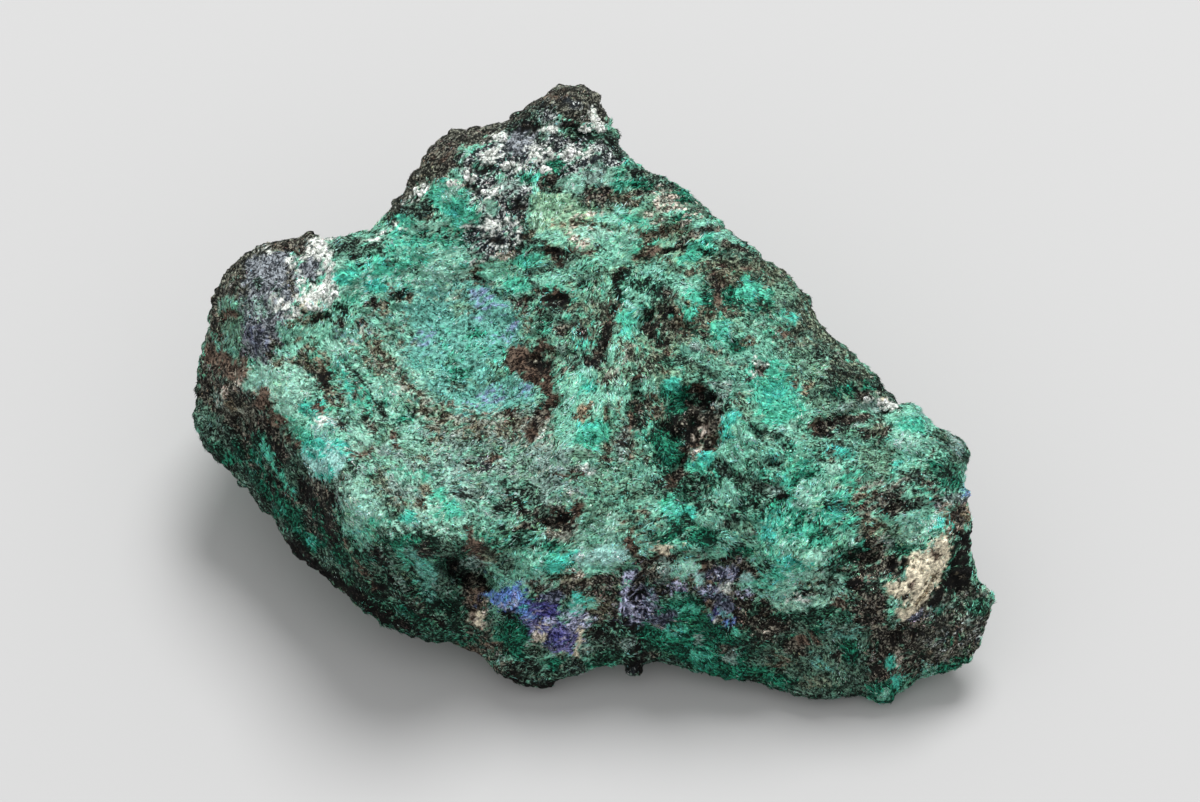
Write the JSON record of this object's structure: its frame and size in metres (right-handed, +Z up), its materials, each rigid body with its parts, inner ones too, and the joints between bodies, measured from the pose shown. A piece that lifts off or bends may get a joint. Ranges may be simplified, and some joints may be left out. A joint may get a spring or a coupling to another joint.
{
  "type": "tenorite specimen",
  "caption": "Rough hand-sized lump of black copper ore under a felted green crust, with blue, white and cream patches, resting on its uneven underside.",
  "frame": {"origin": "middle of the footprint, on the surface that the lump rests on", "axes": "+Z up from the table, +X along the lump towards its lower right end, +Y towards the peak at the back"},
  "size_m": [0.08, 0.0581, 0.0322],
  "materials": {
    "ore": "rough matte broken rock, brown-black under mottled green",
    "green_crust": "felted silky needles, matte with a soft sheen",
    "blue_crystal": "small glassy crystal faces",
    "pale_grains": "chalky granular crumbs",
    "black_grains": "dull to slightly shiny black crumbs"
  },
  "bodies": {
    "root": {"specimen_rock": "ore"}
  },
  "joints": []
}
